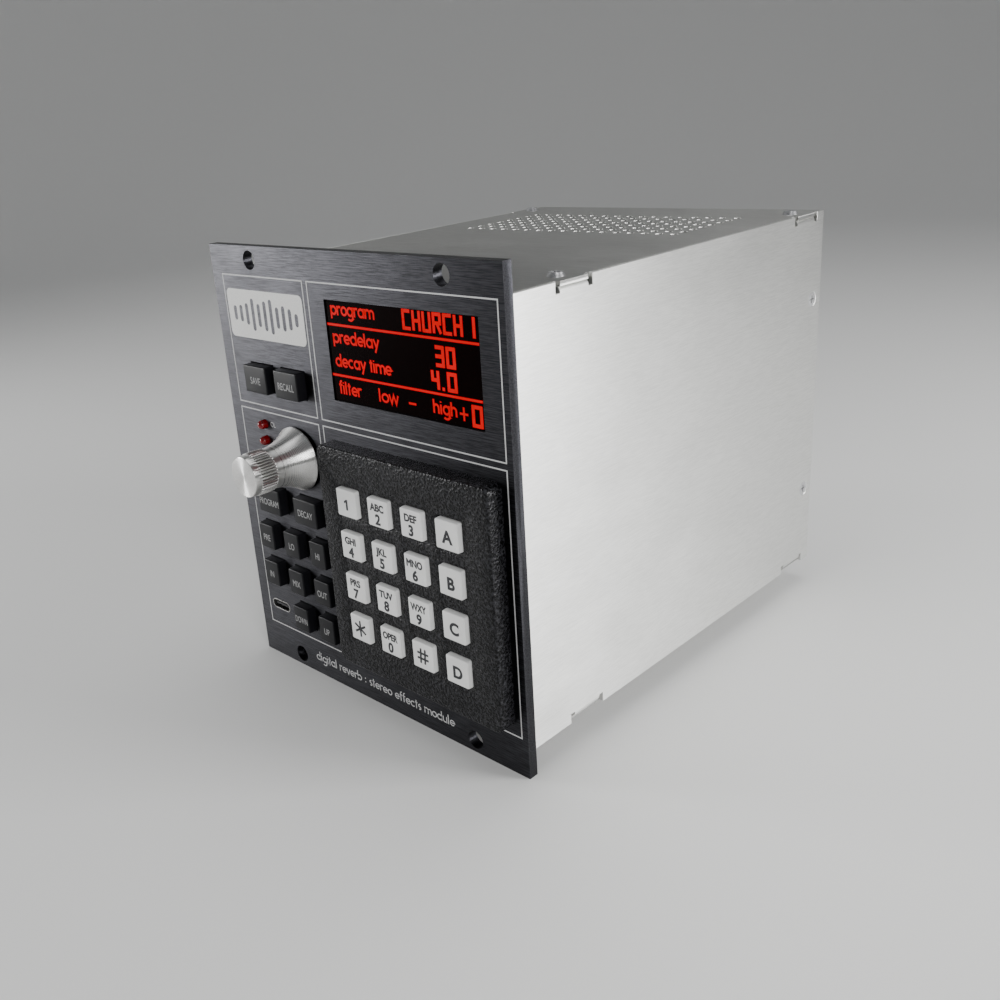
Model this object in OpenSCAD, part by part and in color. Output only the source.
// Three-slot plug-in reverb module for a card frame.
// Origin: centre of the four mounting holes, on the rear face of the front panel.
// +X is right seen from the front, the panel faces -Y, +Z is up. Millimetres.

/* [Front panel] */
// Width of the panel, three slots
panel_w = 114.3; // [113:0.1:116]
// Height of the panel
panel_h = 133.35; // [132:0.05:134]
// Thickness of the panel
panel_t = 3; // [2.5:0.1:3.5]
// Distance between the mounting holes across the panel
rack_hole_dx = 76.2; // [75:0.1:77]
// Distance between the mounting holes up the panel
rack_hole_dz = 125.4; // [124.5:0.1:126]
// Diameter of a mounting hole
rack_hole_d = 5.4; // [4:0.1:6]

/* [Box] */
// Width of the sheet-metal box
box_w = 113.9; // [112:0.1:114]
// Height of the box
box_h = 118; // [116:0.5:119]
// Depth of the box behind the panel
box_d = 147; // [146:0.5:150]
// Thickness of the sheet
sheet_t = 1.2; // [1:0.1:1.5]
// Diameter of one vent hole
vent_d = 2.4; // [1.5:0.1:3]
// Pitch of the vent holes
vent_pitch = 5; // [4:0.5:5]

/* [Display] */
// Width of the display window
window_w = 55.1; // [50:0.1:56]
// Height of the display window
window_h = 27.2; // [25:0.1:28]

/* [Keypad] */
// Pitch of the keys, both ways
key_pitch = 12.7; // [12.5:0.1:12.9]
// Width of a key where it leaves the bezel
key_w = 7.9; // [7.5:0.1:8.6]
// Height of a key where it leaves the bezel
key_h = 8; // [7.5:0.1:8.6]
// Width of the bezel
bezel_w = 63.8; // [63:0.1:64]
// Height of the bezel
bezel_h = 67.2; // [66.5:0.1:67.5]
// How far the bezel stands off the panel
bezel_rise = 5.2; // [5:0.1:5.6]
// How far a key's face stands off the panel
key_rise = 6.5; // [6.3:0.1:7]
// How far a key travels
key_travel = 1; // [0.5:0.1:1.1]

/* [Buttons] */
// Pitch of the small buttons, both ways
button_pitch = 12.5; // [12:0.1:13]
// Width of a small button
small_w = 7.2; // [6.5:0.1:7.6]
// Width of a wide button
wide_w = 10.7; // [10:0.1:11.5]
// Height of every button
button_h = 8.2; // [7.6:0.1:8.6]
// How far a button stands off the panel
button_rise = 3.1; // [2.8:0.1:3.6]
// How far a button travels
button_travel = 0.8; // [0.3:0.1:0.8]

/* [Knob] */
// Diameter of the knob's flared skirt
skirt_d = 19; // [18:0.1:20]
// Diameter over the knurled band
knurl_d = 12.5; // [12:0.1:13]
// Diameter of the flat front face
face_d = 11.4; // [10:0.1:11.6]
// Gap between the panel and the skirt
skirt_gap = 0.6; // [0.4:0.1:1]
// Distance from the panel to the knob's front face
knob_rise = 19.7; // [19:0.1:21]
// Number of grooves in the knurl
knurl_count = 44; // [36:1:60]

/* [Hidden] */
$fn = 64;
eps = 0.01;

KEYS = [
    "key_1", "key_2", "key_3", "key_a",
    "key_4", "key_5", "key_6", "key_b",
    "key_7", "key_8", "key_9", "key_c",
    "key_star", "key_0", "key_hash", "key_d"
];
BUTTONS = [
    "save_button", "recall_button", "program_button", "decay_button",
    "pre_button", "lo_button", "hi_button",
    "in_button", "mix_button", "out_button",
    "down_button", "up_button"
];

front_y = -panel_t;               // the panel's front face
side_x = box_w / 2;               // outer face of a side plate
inner_x = side_x - sheet_t;       // inner face of a side plate
top_z = box_h / 2;                // outer face of a cover
inner_z = top_z - sheet_t;        // inner face of a cover
rear_y = box_d;                   // outer face of the rear panel
inner_y = rear_y - sheet_t;       // inner face of the rear panel
play = 0.2;                       // gap round a piece that moves through an opening
seat = 0.1;                       // gap round a piece that is set into an opening

// Display
window_x = 21.25;
window_z = 40.2;
window_recess = 0.4;
window_lip = 1.3;
window_lip_t = 1;
module_y0 = 1.1;
module_y1 = 8;
module_w = 57;
module_h = 29;
front_board_y = 8;                // front face of the display and control boards
board_t = 1.6;
display_board_x0 = -9.2;
display_board_x1 = 54.3;
display_board_h = 31.5;
display_ear_w = 3.4;
display_ear_h = 7;

// Keypad
keypad_x = 20.7;
keypad_z = -18.95;
bezel_x = 21.2;
bezel_z = -18.8;
bezel_face_t = 2;
bezel_round = 2.2;
bezel_edge = 0.7;
bezel_cavity = 52.4;
panel_cutout = 52;
key_hole_w = key_w + 2 * play;
key_hole_h = key_h + 2 * play;
key_taper = 0.05;
key_edge = 0.3;
key_round = 0.45;
key_flange = 0.7;
key_flange_t = 1;
key_stem_d = 5;
key_stem_end = front_y - 1.3;
mat_t = 2.6;
mat_well_d = 6.6;
keypad_board_w = 61.6;
keypad_board_h = 64.4;
bezel_screw_dx = 57.6;
bezel_screw_dz = 60.4;
bezel_screw_d = 1.9;
bezel_screw_depth = 3.4;

// Buttons: [x, z, width]
col_hi = -19.2;
row_program = -9.55;
wide_upper_z = 28.75;
BUTTON_PLACE = [
    [-38.6, wide_upper_z, wide_w],
    [-24.1, wide_upper_z, wide_w],
    [-40.4, row_program, wide_w],
    [-22.75, row_program, wide_w],
    for (row = [1, 2]) for (col = [2, 1, 0])
        [col_hi - col * button_pitch, row_program - row * button_pitch, small_w],
    for (col = [1, 0])
        [col_hi - col * button_pitch, row_program - 3 * button_pitch, small_w]
];
button_flange = 0.9;
button_flange_y = 0.1;
button_flange_t = 1;
button_stem_d = 3;
button_stem_end = 3.3;
button_edge = 0.5;
switch_w = 6;
switch_t = 3.6;
switch_tip_d = 3.4;
switch_tip_t = 0.25;

// Knob and encoder
knob_x = -26.1;
knob_z = 6.2;
neck_r = 5.9;
neck_rise = 12;                   // where the flare ends and the knurl starts
knurl_end = 17.5;
knob_edge = 0.25;                 // chamfer round the knob's face
band_r = 5.9;
skirt_lip = 0.4;
flare_run = neck_rise - skirt_gap - skirt_lip;
flare_gain = skirt_d / 2 - neck_r;
flare_r = (flare_run * flare_run + flare_gain * flare_gain) / (2 * flare_gain);
knurl_groove_r = 0.32;
shaft_r = 3;
shaft_fit = 0.05;
shaft_front = front_y - 16.5;
nut_cavity_r = 6.9;
nut_cavity_rise = 3.4;
bushing_cavity_r = 4;
bushing_cavity_rise = 5.4;
bushing_r = 3.5;
bushing_front = front_y - 5;
encoder_w = 12.4;
nut_af = 10;
nut_t = 1.8;
set_screw_r = 1.5;
set_screw_rise = 9;

// Lamps and socket
led_x = -41.2;
led_z = [14.2, 9.2];
led_r = 1.4;
led_rise = 2.5;
led_collar = 0.4;
led_leg_dx = 1.05;
led_leg_w = 0.5;
usb_x = -46.1;
usb_z = -47.75;
usb_w = 9;
usb_h = 3.3;
usb_shell = 0.35;

// Control board
control_x0 = -53.2;
control_x1 = -11.2;
control_z0 = -56.4;
control_z1 = 37.6;

// Folded tabs of the side plates
TAB_Y = [14.9, 128.8];
tab_zone = 14;
tab_relief = 1.6;
tab_relief_deep = 2.8;
tab_reach = 10;
tab_screw_x = 51.5;
tab_screw_in = 7;

// Vents
vent_cols = 17;
vent_rows = 8;
vent_y0 = 90;
slot_count = 9;
slot_w = 3;
slot_len = 26;
slot_pitch = 9;
slot_y0 = 60;

// Studs and small screws
bracket_w = 5.5;
bracket_h = 6;
bracket_leg = 13;
corner_stud_x = 52.2;
corner_stud_z = 54.8;
stud_r = 1;
stud_hole_r = 1.15;
stud_root = 1.8;
m2_nut_af = 4;
m2_nut_t = 1.6;
BOARD_STUDS = [
    [-51.4, 35.4], [-12.9, 35.4], [-51.4, 2.2], [-12.9, 2.2], [-51.4, -28], [-12.9, -54.6]
];
DISPLAY_STUDS = [[-10.6, 47], [52.9, 40.2]];
m25_r = 1.25;
m25_head_r = 2.3;
m25_head_t = 1.1;
rear_flange = 8;
rear_flange_h = 96;
rear_screw_y = 142;
REAR_SCREW_Z = [-32, 32];

// Boards that run front to back
main_x = 49.1;
aux_x = -27.1;
long_board_y0 = 13;
long_board_y1 = 145.4;
long_board_h = 104;
tongue_h = 61.6;
tongue_y1 = 156.5;
tongue_chamfer = 1.5;
contact_count = 15;
contact_pitch = 3.96;
contact_w = 2.4;
contact_len = 8;
contact_t = 0.1;

module at_xz(x, z, y = 0) {
    translate([x, y, z]) children();
}

// A cylinder along +Y from y = y0 to y = y1
module rod_y(r, y0, y1) {
    translate([0, y0, 0]) rotate([-90, 0, 0]) cylinder(r = r, h = y1 - y0);
}

// A block centred on x and z, from y = y0 to y = y1
module slab(w, h, y0, y1) {
    translate([-w / 2, y0, -h / 2]) cube([w, y1 - y0, h]);
}

// A slab with round upright corners seen from the front
module round_slab(w, h, r, y0, y1) {
    translate([0, y1, 0]) rotate([90, 0, 0]) linear_extrude(y1 - y0) rounded(w, h, r);
}

module rounded(w, h, r) {
    square([w - 2 * r, h], center = true);
    square([w, h - 2 * r], center = true);
    for (sx = [-1, 1], sz = [-1, 1])
        translate([sx * (w / 2 - r), sz * (h / 2 - r)]) circle(r = r);
}

module hex_y(af, y0, y1) {
    translate([0, y0, 0]) rotate([-90, 0, 0]) cylinder(d = af / cos(30), h = y1 - y0, $fn = 6);
}

module corners(dx, dz) {
    for (sx = [-1, 1], sz = [-1, 1]) at_xz(sx * dx / 2, sz * dz / 2) children();
}

function key_x(i) = keypad_x + (i % 4 - 1.5) * key_pitch;
function key_z(i) = keypad_z + (1.5 - floor(i / 4)) * key_pitch;

// ---- moving pieces ----

// A key: tapered cap, retaining flange behind the bezel's face and a stem to the rubber mat
module key(i) {
    face = front_y - key_rise;
    root = front_y - bezel_rise + bezel_face_t + 0.1;
    top_w = key_w - 2 * key_taper;
    top_h = key_h - 2 * key_taper;
    color("gainsboro") at_xz(key_x(i), key_z(i)) union() {
        hull() {
            round_slab(top_w - 2 * key_edge, top_h - 2 * key_edge, key_round / 2, face, face + eps, $fn = 24);
            round_slab(top_w, top_h, key_round, face + key_edge, face + key_edge + eps, $fn = 24);
            round_slab(key_w, key_h, key_round, front_y - bezel_rise, root, $fn = 24);
        }
        slab(key_w + 2 * key_flange, key_h + 2 * key_flange, root, root + key_flange_t);
        rod_y(key_stem_d / 2, root, key_stem_end);
    }
}

// A button: boxy cap with a small chamfer, retaining flange behind the panel and a stem to its switch
module button(i) {
    place = BUTTON_PLACE[i];
    w = place[2];
    face = front_y - button_rise;
    color([0.1, 0.1, 0.11]) at_xz(place[0], place[1]) union() {
        hull() {
            slab(w - 2 * button_edge, button_h - 2 * button_edge, face, face + eps);
            slab(w, button_h, face + button_edge, button_flange_y);
        }
        slab(w + 2 * button_flange, button_h + 2 * button_flange,
            button_flange_y, button_flange_y + button_flange_t);
        rod_y(button_stem_d / 2, button_flange_y, button_stem_end);
    }
}

module knob_profile() {
    difference() {
        union() {
            translate([0, skirt_gap]) square([skirt_d / 2, neck_rise - skirt_gap]);
            translate([0, neck_rise - eps]) square([band_r, knob_rise - neck_rise - knob_edge + eps]);
            polygon([
                [0, knob_rise - knob_edge - eps], [band_r, knob_rise - knob_edge - eps], [band_r, knob_rise - knob_edge],
                [face_d / 2, knob_rise], [0, knob_rise]
            ]);
        }
        translate([neck_r + flare_r, neck_rise]) circle(r = flare_r, $fn = 180);
        translate([skirt_d / 2, neck_rise - flare_r]) square([flare_r, flare_r]);
    }
}

// Turned knob: flared skirt, knurled band, plain rim and flat face, hollow underneath for the nut
module knob() {
    color("silver") at_xz(knob_x, knob_z, front_y) rotate([90, 0, 0]) difference() {
        union() {
            rotate_extrude() knob_profile();
            translate([0, 0, neck_rise]) linear_extrude(knurl_end - neck_rise) difference() {
                circle(d = knurl_d);
                for (i = [0:knurl_count - 1])
                    rotate(i * 360 / knurl_count) translate([knurl_d / 2, 0]) circle(r = knurl_groove_r, $fn = 16);
            }
        }
        translate([0, 0, -1]) cylinder(r = nut_cavity_r, h = nut_cavity_rise + 1);
        translate([0, 0, -1]) cylinder(r = bushing_cavity_r, h = bushing_cavity_rise + 1);
        translate([0, 0, -1]) cylinder(r = shaft_r, h = -shaft_front + front_y + 1);
        translate([0, 0, set_screw_rise]) rotate([90, 0, 0]) cylinder(r = set_screw_r, h = skirt_d);
    }
}

// Grub screw in the knob's waist, facing down
module knob_set_screw() {
    depth = 3;
    color([0.2, 0.2, 0.2]) translate([knob_x, front_y - set_screw_rise, knob_z - shaft_r - depth])
        difference() {
            cylinder(r = set_screw_r, h = depth);
            translate([0, 0, -eps]) cylinder(d = 1.5, h = 1.2, $fn = 6);
        }
}

module encoder_shaft() {
    color("silver") at_xz(knob_x, knob_z) rod_y(shaft_r, shaft_front, 1);
}

// ---- front electronics ----

module encoder_body() {
    color([0.25, 0.27, 0.25]) at_xz(knob_x, knob_z) difference() {
        union() {
            slab(encoder_w, encoder_w, 0, front_board_y);
            rod_y(bushing_r, bushing_front, 0.5);
        }
        rod_y(shaft_r + shaft_fit, bushing_front - 1, 1.5);
    }
}

module encoder_nut() {
    color("silver") at_xz(knob_x, knob_z) difference() {
        hex_y(nut_af, front_y - nut_t, front_y);
        rod_y(bushing_r, front_y - nut_t - 1, front_y + 1);
    }
}

module front_panel() {
    color([0.16, 0.17, 0.2]) difference() {
        slab(panel_w, panel_h, front_y, 0);
        corners(rack_hole_dx, rack_hole_dz) rod_y(rack_hole_d / 2, front_y - 1, 1);
        at_xz(window_x, window_z)
            slab(window_w + 2 * seat, window_h + 2 * seat, front_y - 1, 1);
        at_xz(keypad_x, keypad_z) slab(panel_cutout, panel_cutout, front_y - 1, 1);
        at_xz(bezel_x, bezel_z)
            corners(bezel_screw_dx, bezel_screw_dz) rod_y(stud_hole_r, front_y - 1, 1);
        for (place = BUTTON_PLACE) at_xz(place[0], place[1])
            slab(place[2] + 2 * play, button_h + 2 * play, front_y - 1, 1);
        at_xz(knob_x, knob_z) rod_y(bushing_r + seat, front_y - 1, 1);
        for (z = led_z) at_xz(led_x, z) rod_y(led_r + seat, front_y - 1, 1);
        at_xz(usb_x, usb_z)
            round_slab(usb_w + 2 * seat, usb_h + 2 * seat, usb_h / 2 + seat - eps, front_y - 1, 1);
        studs_at() rod_y(stud_r, -stud_root, 1);
    }
}

module display_window() {
    color([0.05, 0.01, 0.01]) at_xz(window_x, window_z) union() {
        slab(window_w, window_h, front_y + window_recess, 0.05);
        slab(window_w + 2 * window_lip, window_h + 2 * window_lip, 0, window_lip_t);
    }
}

// Light-box behind the window: a white block with a pocket for each digit and legend
module display_module() {
    pocket_y = module_y0 + 1.2;
    color("whitesmoke") at_xz(window_x, window_z) difference() {
        slab(module_w, module_h, module_y0, module_y1);
        for (col = [0:5]) at_xz(5 + col * 3.6, 10.6) slab(2.9, 5.4, module_y0 - 1, pocket_y);
        for (col = [0, 1]) at_xz(14.6 + col * 3.8, 3.4) slab(3.1, 5.2, module_y0 - 1, pocket_y);
        for (col = [0, 1]) at_xz(14.6 + col * 3.8, -2.8) slab(3.1, 5.2, module_y0 - 1, pocket_y);
        at_xz(25.6, -10.2) slab(3.1, 5.6, module_y0 - 1, pocket_y);
        for (row = [0:3]) at_xz(-15, 10.2 - row * 6.8) slab(20, 4, module_y0 - 1, pocket_y);
    }
}

module display_board() {
    color("darkgreen") difference() {
        union() {
            translate([display_board_x0, front_board_y, window_z - display_board_h / 2])
                cube([display_board_x1 - display_board_x0, board_t, display_board_h]);
            translate([display_board_x0 - display_ear_w, front_board_y,
                DISPLAY_STUDS[0][1] - display_ear_h / 2])
                cube([display_ear_w + 1, board_t, display_ear_h]);
        }
        for (p = DISPLAY_STUDS) at_xz(p[0], p[1]) rod_y(stud_hole_r, 0, 12);
    }
}

module control_board() {
    color("darkgreen") difference() {
        translate([control_x0, front_board_y, control_z0])
            cube([control_x1 - control_x0, board_t, control_z1 - control_z0]);
        for (p = BOARD_STUDS) at_xz(p[0], p[1]) rod_y(stud_hole_r, 0, 12);
    }
}

module tact_switches() {
    color([0.12, 0.12, 0.12]) for (place = BUTTON_PLACE) at_xz(place[0], place[1]) union() {
        slab(switch_w, switch_w, front_board_y - switch_t, front_board_y);
        rod_y(switch_tip_d / 2, front_board_y - switch_t - switch_tip_t, front_board_y - switch_t + eps);
    }
}

// Two red lamps with dome tips, a collar behind the panel and two legs each
module level_leds() {
    dome_y = front_y - led_rise + led_r;
    color("darkred") for (z = led_z) at_xz(led_x, z) union() {
        rotate([90, 0, 0]) rotate_extrude() intersection() {
            union() {
                translate([0, -dome_y]) circle(r = led_r);
                translate([0, -1]) square([led_r, 1 - dome_y]);
                translate([0, -1]) square([led_r + led_collar, 1]);
            }
            translate([0, -2]) square([4, 20]);
        }
        for (sx = [-1, 1]) at_xz(sx * led_leg_dx, 0) slab(led_leg_w, led_leg_w, 1 - seat, front_board_y);
    }
}

// Metal socket shell with its tongue
module usb_socket() {
    mouth = front_y - 0.1;
    color("silver") at_xz(usb_x, usb_z) union() {
        difference() {
            round_slab(usb_w, usb_h, usb_h / 2 - eps, mouth, front_board_y);
            round_slab(usb_w - 2 * usb_shell, usb_h - 2 * usb_shell, usb_h / 2 - usb_shell - eps,
                mouth - 1, front_board_y - 2);
        }
        slab(6.6, 0.7, mouth + 0.6, front_board_y - 1);
    }
}

// ---- keypad ----

// Moulded bezel: a shell with sixteen key openings and four screw bosses in its rim
module keypad_bezel() {
    face = front_y - bezel_rise;
    color([0.08, 0.08, 0.08]) at_xz(bezel_x, bezel_z) difference() {
        union() {
            hull() {
                round_slab(bezel_w - 2 * bezel_edge, bezel_h - 2 * bezel_edge, bezel_round - bezel_edge / 2,
                    face, face + 1, $fn = 32);
                round_slab(bezel_w - 0.6 * bezel_edge, bezel_h - 0.6 * bezel_edge, bezel_round,
                    face + 0.3 * bezel_edge, face + 1.2, $fn = 32);
                round_slab(bezel_w, bezel_h, bezel_round, face + bezel_edge, face + 1.2, $fn = 32);
            }
            round_slab(bezel_w, bezel_h, bezel_round, face + 1.2 - eps, front_y);
        }
        at_xz(keypad_x - bezel_x, keypad_z - bezel_z)
            slab(bezel_cavity, bezel_cavity, face + bezel_face_t, front_y + 1);
        for (i = [0:15]) at_xz(key_x(i) - bezel_x, key_z(i) - bezel_z)
            slab(key_hole_w, key_hole_h, face - 1, face + bezel_face_t + 1);
        corners(bezel_screw_dx, bezel_screw_dz)
            rod_y(bezel_screw_d / 2 + 0.02, front_y - bezel_screw_depth, front_y + 1);
    }
}

// Rubber mat in the panel's cut-out with one well for each key's stem
module keypad_mat() {
    color([0.3, 0.3, 0.3]) difference() {
        at_xz(keypad_x, keypad_z) slab(panel_cutout - 2 * seat, panel_cutout - 2 * seat, -mat_t, 0);
        for (i = [0:15]) at_xz(key_x(i), key_z(i)) rod_y(mat_well_d / 2, -mat_t - 1, -0.8);
    }
}

module keypad_board() {
    color("darkgreen") difference() {
        at_xz(bezel_x, bezel_z) slab(keypad_board_w, keypad_board_h, 0, board_t);
        at_xz(bezel_x, bezel_z) corners(bezel_screw_dx, bezel_screw_dz) rod_y(stud_hole_r, -1, 3);
    }
}

module keypad_screws() {
    color("silver") at_xz(bezel_x, bezel_z) corners(bezel_screw_dx, bezel_screw_dz) union() {
        rod_y(bezel_screw_d / 2, front_y - bezel_screw_depth + 0.3, board_t + eps);
        rod_y(1.8, board_t, board_t + 1.3);
    }
}

// ---- sheet-metal box ----

// One side plate, drawn for the right side, with two folded tabs at the top and two at the bottom
module side_plate() {
    difference() {
        union() {
            difference() {
                translate([inner_x, 0, -top_z]) cube([sheet_t, box_d, box_h]);
                for (y = TAB_Y, s = [-1, 1]) tab_notch(y, s);
            }
            for (y = TAB_Y, s = [-1, 1]) side_tab(y, s);
        }
        for (y = TAB_Y, s = [-1, 1])
            translate([tab_screw_x, y + tab_screw_in, s * inner_z])
                cylinder(r = m25_r, h = 4 * sheet_t, center = true);
        for (z = REAR_SCREW_Z) translate([inner_x - eps, rear_screw_y, z]) rotate([0, 90, 0])
            cylinder(r1 = m25_r + seat, r2 = m25_r + sheet_t, h = sheet_t + 2 * eps);
    }
}

// What is cut from a side plate's edge for one tab: the gap over the tab and a deeper relief at each end
module tab_notch(y, s) {
    for (dy = [0, tab_zone - tab_relief]) notch_block(y + dy, tab_relief, tab_relief_deep, s);
    notch_block(y, tab_zone, 2 * sheet_t, s);
}

module notch_block(y, len, deep, s) {
    low = s > 0 ? top_z - deep : -top_z - 1;
    translate([inner_x - 1, y, low]) cube([sheet_t + 2, len, deep + 1]);
}

// A folded tab: a plate under the cover, joined to the side plate by a round bend
module side_tab(y, s) {
    y0 = y + tab_relief;
    len = tab_zone - 2 * tab_relief;
    low = s > 0 ? inner_z - sheet_t : -inner_z;
    translate([inner_x + sheet_t - tab_reach, y0, low]) cube([tab_reach - sheet_t, len, sheet_t]);
    translate([inner_x, y0, s * (inner_z - sheet_t)]) rotate([-90, 0, 0]) intersection() {
        cylinder(r = sheet_t, h = len);
        translate([0, s > 0 ? -2 * sheet_t : 0, 0]) cube([2 * sheet_t, 2 * sheet_t, len]);
    }
}

module left_side_plate() {
    color("silver") mirror([1, 0, 0]) side_plate();
}

module right_side_plate() {
    color("silver") side_plate();
}

// Vented top cover, flush between the side plates, with an ear over each tab
module top_cover() {
    half = inner_x - seat;
    ear_y = tab_relief + seat;
    color("silver") difference() {
        union() {
            translate([-half, seat, inner_z]) cube([2 * half, box_d - seat, sheet_t]);
            for (y = TAB_Y)
                translate([-side_x, y + ear_y, inner_z]) cube([box_w, tab_zone - 2 * ear_y, sheet_t]);
        }
        for (col = [0:vent_cols - 1], row = [0:vent_rows - 1])
            translate([(col - (vent_cols - 1) / 2) * vent_pitch, vent_y0 + row * vent_pitch, inner_z - 1])
                cylinder(d = vent_d, h = sheet_t + 2, $fn = 24);
        cover_screw_places(1) cylinder(r = m25_r + seat, h = 2 * sheet_t + 2, center = true);
    }
}

module bottom_cover() {
    half = inner_x - seat;
    color("silver") difference() {
        translate([-half, seat, -top_z]) cube([2 * half, box_d - seat, sheet_t]);
        for (i = [0:slot_count - 1])
            translate([(i - (slot_count - 1) / 2) * slot_pitch, slot_y0, -top_z - 1]) vent_slot();
        cover_screw_places(-1) cylinder(r = m25_r + seat, h = 2 * sheet_t + 2, center = true);
    }
}

module vent_slot() {
    translate([-slot_w / 2, slot_w / 2, 0]) cube([slot_w, slot_len - slot_w, sheet_t + 2]);
    for (y = [slot_w / 2, slot_len - slot_w / 2]) translate([0, y, 0])
        cylinder(d = slot_w, h = sheet_t + 2);
}

module cover_screw_places(s) {
    for (y = TAB_Y, sx = [-1, 1])
        translate([sx * tab_screw_x, y + tab_screw_in, s * top_z]) children();
}

// Rear panel with a flange folded forward at each side and a slot for each card edge
module rear_panel() {
    half = inner_x - seat;
    color("silver") difference() {
        union() {
            translate([-half, inner_y, -inner_z]) cube([2 * half, sheet_t, 2 * inner_z]);
            for (sx = [-1, 1]) translate([sx * (half - sheet_t / 2), inner_y - rear_flange / 2 + eps, 0])
                cube([sheet_t, rear_flange, rear_flange_h], center = true);
        }
        for (x = [main_x, aux_x]) translate([x, 0, 0])
            slab(board_t + 1, tongue_h + 1, inner_y - 1, rear_y + 1);
        for (sx = [-1, 1], z = REAR_SCREW_Z) translate([sx * inner_x, rear_screw_y, z])
            rotate([0, 90, 0]) cylinder(r = m25_r, h = 6, center = true);
    }
}

// ---- fasteners and brackets ----

module corner_brackets() {
    color("silver") for (sx = [-1, 1], sz = [-1, 1]) scale([sx, 1, 1])
        translate([inner_x - bracket_w, 0, sz * corner_stud_z - bracket_h / 2]) difference() {
            union() {
                cube([bracket_w, sheet_t, bracket_h]);
                translate([bracket_w - sheet_t, 0, 0]) cube([sheet_t, bracket_leg, bracket_h]);
            }
            translate([corner_stud_x - inner_x + bracket_w, 0, bracket_h / 2])
                rod_y(stud_hole_r, -1, sheet_t + 1);
        }
}

module corner_stud_places() {
    for (sx = [-1, 1], sz = [-1, 1]) at_xz(sx * corner_stud_x, sz * corner_stud_z) children();
}

module board_stud_places() {
    for (p = concat(BOARD_STUDS, DISPLAY_STUDS)) at_xz(p[0], p[1]) children();
}

module studs_at() {
    corner_stud_places() children();
    board_stud_places() children();
}

// Studs pressed into the panel's back: four short ones for the box, the others shouldered for the boards
module panel_studs() {
    color("silver") {
        corner_stud_places() rod_y(stud_r, -stud_root, sheet_t + m2_nut_t + 1);
        board_stud_places() union() {
            rod_y(stud_r, -stud_root, front_board_y + board_t + m2_nut_t + 1);
            rod_y(1.7, 0, front_board_y);
        }
    }
}

module stud_nuts() {
    board_back = front_board_y + board_t;
    color("silver") {
        corner_stud_places() m2_nut(sheet_t);
        board_stud_places() m2_nut(board_back);
    }
}

module m2_nut(y) {
    difference() {
        hex_y(m2_nut_af, y, y + m2_nut_t);
        rod_y(stud_r, y - 1, y + m2_nut_t + 1);
    }
}

// Pan-head screws through the covers into the tabs, with a cross recess
module cover_screws() {
    color("silver") for (s = [1, -1]) cover_screw_places(s) scale([1, 1, s]) difference() {
        union() {
            translate([0, 0, -2 * sheet_t - 1]) cylinder(r = m25_r, h = 2 * sheet_t + 1 + eps);
            cylinder(r1 = m25_head_r, r2 = m25_head_r - 0.5, h = m25_head_t, $fn = 48);
        }
        for (a = [0, 90]) rotate(a) translate([-1.3, -0.25, m25_head_t - 0.6]) cube([2.6, 0.5, 1]);
    }
}

// Countersunk screws through the side plates into the rear panel's flanges
module rear_screws() {
    color("silver") for (sx = [1, -1], z = REAR_SCREW_Z)
        scale([sx, 1, 1]) translate([inner_x, rear_screw_y, z]) rotate([0, 90, 0]) difference() {
            union() {
                cylinder(r1 = m25_r, r2 = m25_r + sheet_t - 0.1, h = sheet_t - 0.1, $fn = 48);
                translate([0, 0, -sheet_t - 2]) cylinder(r = m25_r, h = sheet_t + 2 + eps);
            }
            for (a = [0, 90]) rotate(a) translate([-1.2, -0.25, sheet_t - 0.7]) cube([2.4, 0.5, 1]);
        }
}

// ---- boards behind ----

// A board that runs front to back, with a chamfered card-edge tongue through the rear panel
module long_board(x) {
    half = long_board_h / 2;
    tongue = tongue_h / 2;
    translate([x + board_t / 2, 0, 0]) rotate([0, -90, 0]) linear_extrude(board_t)
        polygon([
            [-half, long_board_y0], [-half, long_board_y1], [-tongue, long_board_y1],
            [-tongue, tongue_y1 - tongue_chamfer], [-tongue + tongue_chamfer, tongue_y1],
            [tongue - tongue_chamfer, tongue_y1], [tongue, tongue_y1 - tongue_chamfer],
            [tongue, long_board_y1], [half, long_board_y1], [half, long_board_y0]
        ]);
}

module main_board() {
    color("darkgreen") long_board(main_x);
}

module aux_board() {
    color("darkgreen") long_board(aux_x);
}

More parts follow.
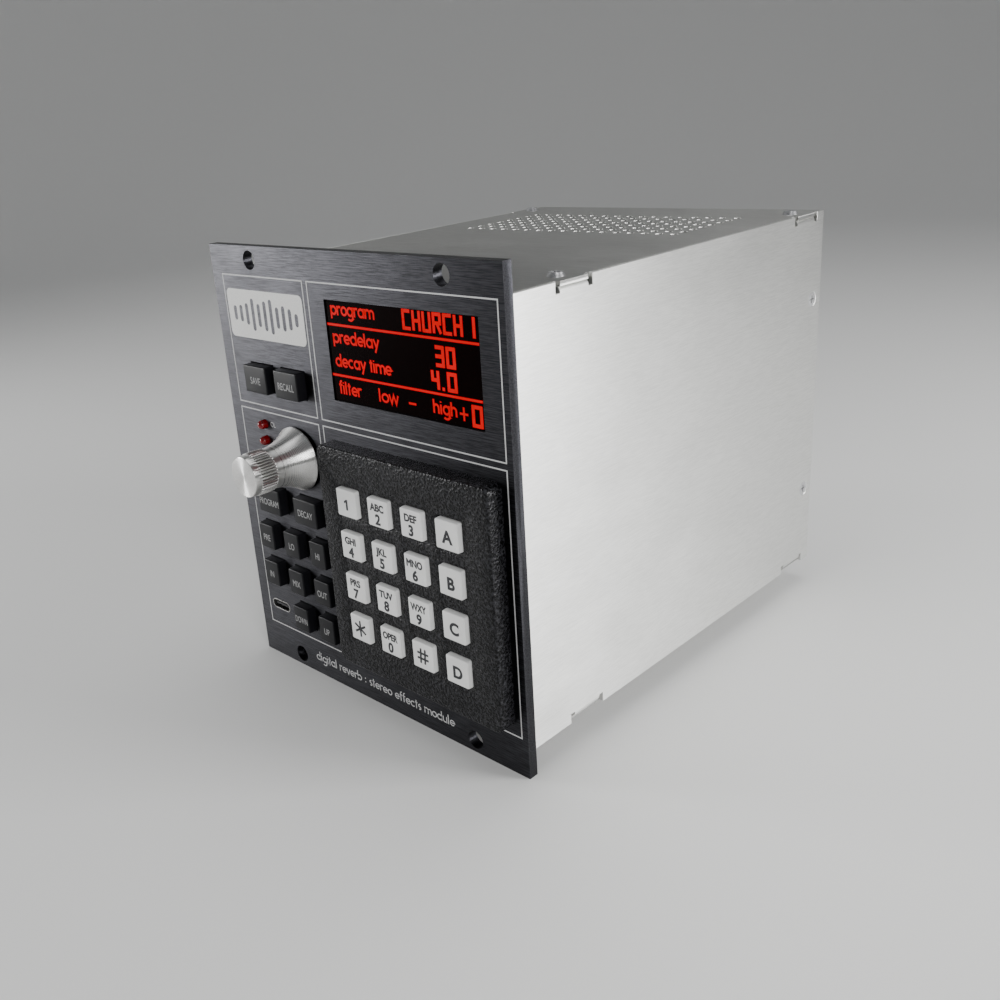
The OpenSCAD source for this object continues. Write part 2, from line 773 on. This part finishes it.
module edge_contacts() {
    color("gold") for (x = [main_x, aux_x], i = [0:contact_count - 1])
        translate([x - board_t / 2 - contact_t, tongue_y1 - contact_len - 0.6,
            (i - (contact_count - 1) / 2) * contact_pitch - contact_w / 2])
            cube([contact_t, contact_len, contact_w]);
}

// Chips, capacitors, a finned heat sink and the plugs that join the boards
module board_parts() {
    main_face = main_x - board_t / 2;
    aux_face = aux_x - board_t / 2;
    back = front_board_y + board_t;
    color([0.12, 0.12, 0.13]) {
        for (z = [-30, 0, 30]) translate([main_face - 2, 40, z - 9]) cube([2, 18, 18]);
        for (z = [-38, -20, -2, 16, 34]) translate([main_face, 85, z]) rotate([0, -90, 0])
            cylinder(d = 10, h = 14, $fn = 32);
        for (z = [-30, -15, 0, 15, 30]) translate([aux_face - 3, 40, z - 4]) cube([3, 16, 8]);
        for (z = [-35, -18, 0, 18, 35]) translate([aux_face, 80, z]) rotate([0, -90, 0])
            cylinder(d = 8, h = 11, $fn = 32);
        heat_sink(main_face);
        translate([main_face - 5, back, 31]) cube([5, 10, 16]);
        translate([aux_face - 5, back, -30]) cube([5, 10, 24]);
    }
}

module heat_sink(face) {
    fin = 1.5;
    union() {
        translate([face - 3, 104, -30]) cube([3, 30, 60]);
        for (i = [0:9]) translate([face - 16, 104, -30 + i * (60 - fin) / 9]) cube([13 + eps, 30, fin]);
    }
}

// Angle brackets that hold the two long boards to the rear panel
module board_brackets() {
    leg = 12;
    color("silver") for (x = [main_x, aux_x], z = [-44, 44])
        translate([x - board_t / 2, inner_y, z - 5]) union() {
            translate([-leg, -sheet_t, 0]) cube([leg, sheet_t, 10]);
            translate([-sheet_t, -leg, 0]) cube([sheet_t, leg, 10]);
        }
}

for (i = [0:len(KEYS) - 1]) key(i);
for (i = [0:len(BUTTONS) - 1]) button(i);
knob();
knob_set_screw();
encoder_shaft();
encoder_body();
encoder_nut();
front_panel();
display_window();
display_module();
display_board();
control_board();
tact_switches();
level_leds();
usb_socket();
keypad_bezel();
keypad_mat();
keypad_board();
keypad_screws();
left_side_plate();
right_side_plate();
top_cover();
bottom_cover();
rear_panel();
corner_brackets();
panel_studs();
stud_nuts();
cover_screws();
rear_screws();
main_board();
aux_board();
edge_contacts();
board_parts();
board_brackets();
